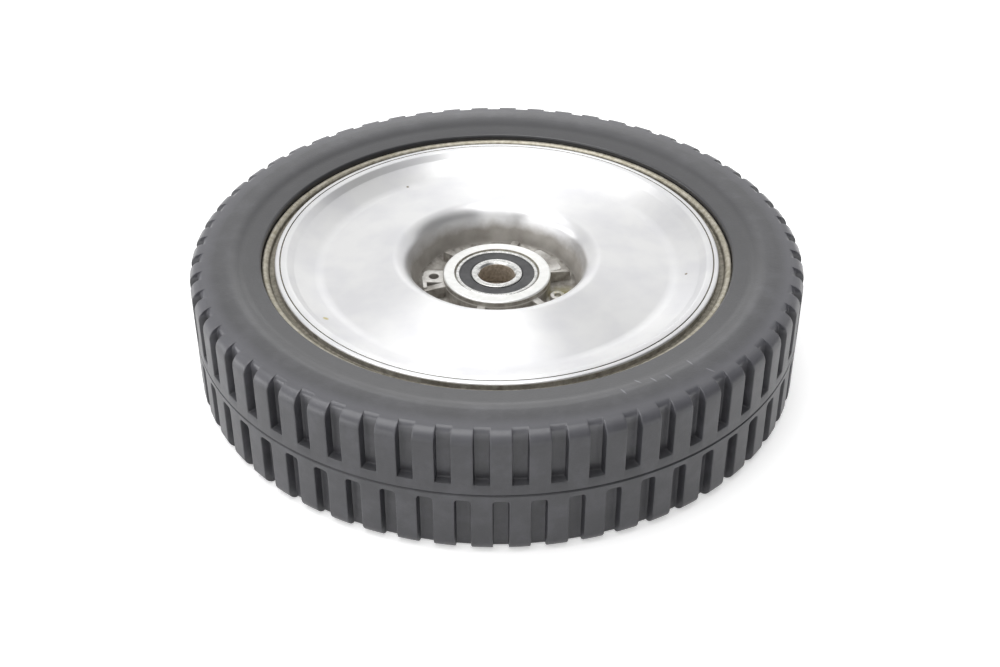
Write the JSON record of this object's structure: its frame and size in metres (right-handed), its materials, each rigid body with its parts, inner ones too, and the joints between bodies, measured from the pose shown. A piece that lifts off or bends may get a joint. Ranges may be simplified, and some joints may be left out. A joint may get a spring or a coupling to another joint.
{
  "type": "drive wheel",
  "caption": "Solid-tyred drive wheel with a polished die-cast centre, sealed ball bearings in the hub and an internal ring gear on the inner side.",
  "frame": {"origin": "on the axle axis, in the plane of the inner sidewall that the wheel lies on", "axes": "+Z along the axle, out of the polished face; +X to the right in the picture, -Y towards the camera"},
  "size_m": [0.2032, 0.2032, 0.0444],
  "materials": {
    "tyre": "dull solid rubber, dusty",
    "polished_casting": "polished face, as-cast recess and rear",
    "bearing_steel": "ground bearing steel",
    "ball_steel": "polished balls",
    "cage_steel": "pressed sheet",
    "seal_rubber": "moulded nitrile rubber",
    "spacer_steel": "turned steel",
    "gear_steel": "sintered steel, oiled",
    "screw_zinc": "zinc plated"
  },
  "bodies": {
    "axle_sleeve": {"front_bearing_inner_ring": "bearing_steel", "rear_bearing_inner_ring": "bearing_steel", "spacer_tube": "spacer_steel"},
    "wheel": {"tyre": "tyre", "wheel_casting": "polished_casting", "front_bearing_outer_ring": "bearing_steel", "front_bearing_front_seal": "seal_rubber", "front_bearing_rear_seal": "seal_rubber", "rear_bearing_outer_ring": "bearing_steel", "rear_bearing_front_seal": "seal_rubber", "rear_bearing_rear_seal": "seal_rubber", "ring_gear": "gear_steel", "gear_screws": "screw_zinc", "gear_lock_washers": "screw_zinc"},
    "front_ball_set": {"front_bearing_balls": "ball_steel", "front_bearing_cage_front": "cage_steel", "front_bearing_cage_rear": "cage_steel", "front_bearing_cage_rivets": "cage_steel"},
    "rear_ball_set": {"rear_bearing_balls": "ball_steel", "rear_bearing_cage_front": "cage_steel", "rear_bearing_cage_rear": "cage_steel", "rear_bearing_cage_rivets": "cage_steel"}
  },
  "joints": [
    {"name": "wheel_spin", "type": "hinge", "parent": "axle_sleeve", "child": "wheel", "pos_m": [0, 0, 0.0222], "axis": [0, 0, 1], "continuous": true},
    {"name": "front_ball_orbit", "type": "hinge", "parent": "axle_sleeve", "child": "front_ball_set", "pos_m": [0, 0, 0.0281], "axis": [0, 0, 1], "continuous": true},
    {"name": "rear_ball_orbit", "type": "hinge", "parent": "axle_sleeve", "child": "rear_ball_set", "pos_m": [0, 0, 0.0065], "axis": [0, 0, 1], "continuous": true}
  ],
  "couplings": [
    {"joint": "front_ball_orbit", "follows": "wheel_spin", "ratio": 0.61905},
    {"joint": "rear_ball_orbit", "follows": "wheel_spin", "ratio": 0.61905}
  ]
}
